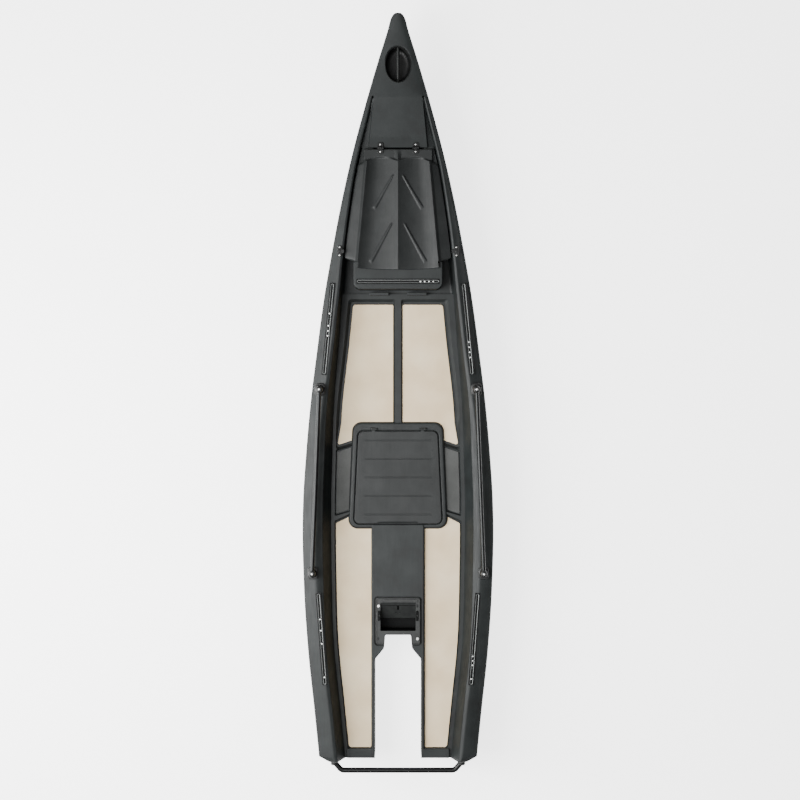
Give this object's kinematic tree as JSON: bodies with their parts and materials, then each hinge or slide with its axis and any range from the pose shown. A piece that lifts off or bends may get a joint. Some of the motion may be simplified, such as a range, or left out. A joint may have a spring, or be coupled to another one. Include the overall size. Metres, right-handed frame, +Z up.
{
  "type": "pedal fishing kayak",
  "caption": "Open sit-in fishing kayak hull with hinged bow hatch, centre hatch, gear tracks, side grab rails and a stern slot with a drive mount for a drop-in drive.",
  "frame": {"origin": "under the middle of the overall length, on the centreline, on the plane that the flat of the hull rests on", "axes": "+Y to the bow, +X to starboard, +Z up"},
  "size_m": [0.924, 3.66, 0.389],
  "materials": {
    "hull_plastic": "satin charcoal rotomoulded polyethylene",
    "hatch_plastic": "satin dark grey moulded polyethylene",
    "black_plastic": "black moulded nylon",
    "deck_foam": "beige brushed EVA foam",
    "side_foam": "grey brushed EVA foam",
    "seal_rubber": "black foam rubber",
    "black_tube": "black powder coated aluminium tube",
    "track_aluminium": "black anodised aluminium extrusion",
    "stainless": "bright stainless steel"
  },
  "bodies": {
    "hull": {"hull_shell": "hull_plastic", "cockpit_floor": "hull_plastic", "starboard_gunwale": "hull_plastic", "port_gunwale": "hull_plastic", "bow_deck": "hull_plastic", "hatch_coaming": "hull_plastic", "bow_handle": "black_plastic", "front_hatch_seal": "seal_rubber", "center_hatch_seal": "seal_rubber", "drive_mount": "black_plastic", "stern_bar": "black_tube", "starboard_hinge_deck_leaf": "black_plastic", "port_hinge_deck_leaf": "black_plastic", "starboard_hinge_pin": "stainless", "port_hinge_pin": "stainless", "starboard_lid_pin": "stainless", "port_lid_pin": "stainless", "starboard_catch_base": "black_plastic", "port_catch_base": "black_plastic", "starboard_front_pad": "deck_foam", "starboard_side_pad": "side_foam", "starboard_rear_pad": "deck_foam", "port_front_pad": "deck_foam", "port_side_pad": "side_foam", "port_rear_pad": "deck_foam", "starboard_mount_bolt": "stainless", "port_mount_bolt": "stainless", "starboard_rail": "black_tube", "starboard_rail_aft_mount": "black_plastic", "starboard_rail_front_mount": "black_plastic", "port_rail": "black_tube", "port_rail_aft_mount": "black_plastic", "port_rail_front_mount": "black_plastic", "starboard_bar_socket": "black_plastic", "port_bar_socket": "black_plastic", "dash_track": "track_aluminium", "starboard_front_track": "track_aluminium", "port_front_track": "track_aluminium", "starboard_rear_track": "track_aluminium", "port_rear_track": "track_aluminium"},
    "front_hatch": {"front_hatch_cover": "hatch_plastic", "starboard_hinge_cover_leaf": "black_plastic", "port_hinge_cover_leaf": "black_plastic"},
    "center_hatch": {"center_hatch_lid": "hatch_plastic"},
    "starboard_catch": {"starboard_catch_tongue": "black_plastic"},
    "port_catch": {"port_catch_tongue": "black_plastic"},
    "starboard_latch": {"starboard_mount_latch": "black_plastic"},
    "port_latch": {"port_mount_latch": "black_plastic"},
    "plug": {"drain_plug": "black_plastic"},
    "dash_slider": {"dash_track_nuts": "stainless"},
    "starboard_front_slider": {"starboard_front_nuts": "stainless"},
    "port_front_slider_1": {"port_front_nut": "stainless"},
    "port_front_slider_2": {"port_front_nuts": "stainless"},
    "starboard_rear_slider_1": {"starboard_rear_nuts": "stainless"},
    "starboard_rear_slider_2": {"starboard_rear_nut": "stainless"},
    "port_rear_slider_1": {"port_rear_nut_1": "stainless"},
    "port_rear_slider_2": {"port_rear_nut_2": "stainless"},
    "port_rear_slider_3": {"port_rear_nut_3": "stainless"},
    "port_rear_slider_4": {"port_rear_nut_4": "stainless"}
  },
  "joints": [
    {"name": "front_hatch_open", "type": "hinge", "parent": "hull", "child": "front_hatch", "pos_m": [0, 1.19, 0.333], "axis": [-1, 0, 0], "range_deg": [0, 105]},
    {"name": "center_hatch_open", "type": "hinge", "parent": "hull", "child": "center_hatch", "pos_m": [0, -0.166, 0.24], "axis": [-1, 0, 0], "range_deg": [0, 100]},
    {"name": "starboard_catch_turn", "type": "hinge", "parent": "hull", "child": "starboard_catch", "pos_m": [0.28157, 0.692, 0.3386], "axis": [0, 0, 1], "range_deg": [0, 90]},
    {"name": "port_catch_turn", "type": "hinge", "parent": "hull", "child": "port_catch", "pos_m": [-0.28157, 0.692, 0.3386], "axis": [0, 0, -1], "range_deg": [0, 90]},
    {"name": "starboard_latch_turn", "type": "hinge", "parent": "hull", "child": "starboard_latch", "pos_m": [0.093, -1.076, 0.2446], "axis": [0, 0, 1], "range_deg": [0, 90]},
    {"name": "port_latch_turn", "type": "hinge", "parent": "hull", "child": "port_latch", "pos_m": [-0.093, -1.076, 0.2446], "axis": [0, 0, -1], "range_deg": [0, 90]},
    {"name": "drain_plug_turn", "type": "hinge", "parent": "hull", "child": "plug", "pos_m": [0.245, -1.772, 0.076], "axis": [0, -1, 0], "range_deg": [0, 360]},
    {"name": "dash_nuts_slide", "type": "slide", "parent": "hull", "child": "dash_slider", "axis": [1, 0, 0], "range_m": [-0.299, 0.019]},
    {"name": "starboard_front_nuts_slide", "type": "slide", "parent": "hull", "child": "starboard_front_slider", "axis": [-0.0935, 0.9956, 0], "range_m": [-0.075, 0.274]},
    {"name": "port_front_nut_slide", "type": "slide", "parent": "hull", "child": "port_front_slider_1", "axis": [0.0935, 0.9956, 0], "range_m": [-0.0165, 0.136]},
    {"name": "port_front_nuts_slide", "type": "slide", "parent": "hull", "child": "port_front_slider_2", "axis": [0.0935, 0.9956, 0], "range_m": [-0.179, 0.0205]},
    {"name": "starboard_rear_nuts_slide", "type": "slide", "parent": "hull", "child": "starboard_rear_slider_1", "axis": [0.0737, 0.9973, 0], "range_m": [-0.028, 0.295]},
    {"name": "starboard_rear_nut_slide", "type": "slide", "parent": "hull", "child": "starboard_rear_slider_2", "axis": [0.0737, 0.9973, 0], "range_m": [-0.0185, 0.0175]},
    {"name": "port_rear_nut_1_slide", "type": "slide", "parent": "hull", "child": "port_rear_slider_1", "axis": [-0.0737, 0.9973, 0], "range_m": [-0.0165, 0.1165]},
    {"name": "port_rear_nut_2_slide", "type": "slide", "parent": "hull", "child": "port_rear_slider_2", "axis": [-0.0737, 0.9973, 0], "range_m": [-0.0215, 0.0165]},
    {"name": "port_rear_nut_3_slide", "type": "slide", "parent": "hull", "child": "port_rear_slider_3", "axis": [-0.0737, 0.9973, 0], "range_m": [-0.0705, 0.0215]},
    {"name": "port_rear_nut_4_slide", "type": "slide", "parent": "hull", "child": "port_rear_slider_4", "axis": [-0.0737, 0.9973, 0], "range_m": [-0.0265, 0.0705]}
  ]
}
